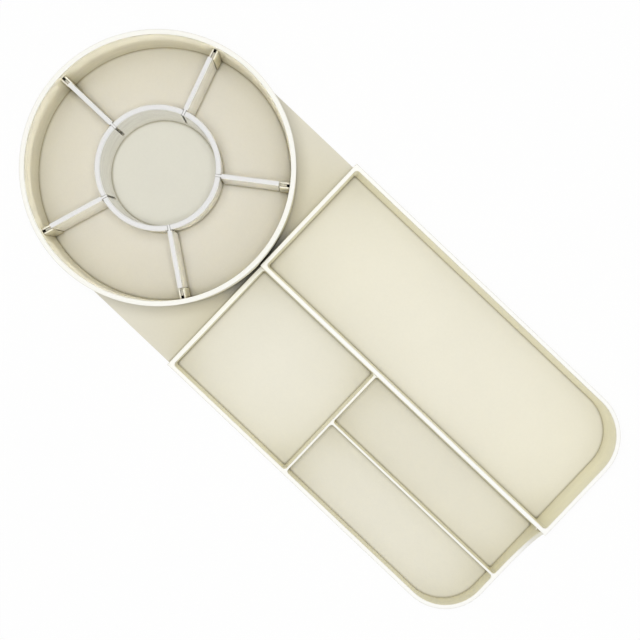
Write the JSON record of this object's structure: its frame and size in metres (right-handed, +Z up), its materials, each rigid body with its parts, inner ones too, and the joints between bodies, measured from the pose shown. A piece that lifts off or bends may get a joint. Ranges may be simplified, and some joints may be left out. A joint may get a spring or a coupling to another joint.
{
  "type": "desk organizer",
  "caption": "Desk organizer with a stepped, divided open tray and a turning round pen cup, whose ring and slide-in plates lift out.",
  "frame": {"origin": "on the desk, under the middle of the organizer's box", "axes": "+X along the length from the pen cup to the tray's rounded end, +Y to the tall back wall, +Z up"},
  "size_m": [0.2632, 0.1097, 0.1082],
  "materials": {
    "cream_plastic": "satin",
    "white_plastic": "satin",
    "steel": "polished",
    "bearing_plastic": "smooth",
    "foot_rubber": "matte"
  },
  "bodies": {
    "base": {"tray_body": "cream_plastic", "lower_race": "steel", "pivot_bush": "bearing_plastic", "rubber_foot_1": "foot_rubber", "rubber_foot_2": "foot_rubber", "rubber_foot_3": "foot_rubber", "rubber_foot_4": "foot_rubber", "rubber_foot_5": "foot_rubber", "rubber_foot_6": "foot_rubber"},
    "carousel": {"pen_cup": "cream_plastic", "upper_race": "steel", "pivot_washer": "steel", "pivot_screw": "steel"},
    "ball_cage": {"bearing_cage": "bearing_plastic", "bearing_balls": "steel"},
    "ring": {"divider_ring": "white_plastic"},
    "plate_1": {"divider_plate_1": "white_plastic"},
    "plate_2": {"divider_plate_2": "white_plastic"},
    "plate_3": {"divider_plate_3": "white_plastic"},
    "plate_4": {"divider_plate_4": "white_plastic"},
    "plate_5": {"divider_plate_5": "white_plastic"}
  },
  "joints": [
    {"name": "carousel_spin", "type": "hinge", "parent": "base", "child": "carousel", "pos_m": [-0.07709, 0, 0], "axis": [0, 0, 1], "continuous": true},
    {"name": "cage_spin", "type": "hinge", "parent": "base", "child": "ball_cage", "pos_m": [-0.07709, 0, 0], "axis": [0, 0, 1], "continuous": true},
    {"name": "ring_lift", "type": "slide", "parent": "carousel", "child": "ring", "axis": [0, 0, 1], "range_m": [0, 0.1]},
    {"name": "plate_1_lift", "type": "slide", "parent": "ring", "child": "plate_1", "axis": [0, 0, 1], "range_m": [0, 0.1]},
    {"name": "plate_2_lift", "type": "slide", "parent": "ring", "child": "plate_2", "axis": [0, 0, 1], "range_m": [0, 0.1]},
    {"name": "plate_3_lift", "type": "slide", "parent": "ring", "child": "plate_3", "axis": [0, 0, 1], "range_m": [0, 0.1]},
    {"name": "plate_4_lift", "type": "slide", "parent": "ring", "child": "plate_4", "axis": [0, 0, 1], "range_m": [0, 0.1]},
    {"name": "plate_5_lift", "type": "slide", "parent": "ring", "child": "plate_5", "axis": [0, 0, 1], "range_m": [0, 0.1]}
  ],
  "couplings": [
    {"joint": "cage_spin", "follows": "carousel_spin", "ratio": 0.5}
  ]
}
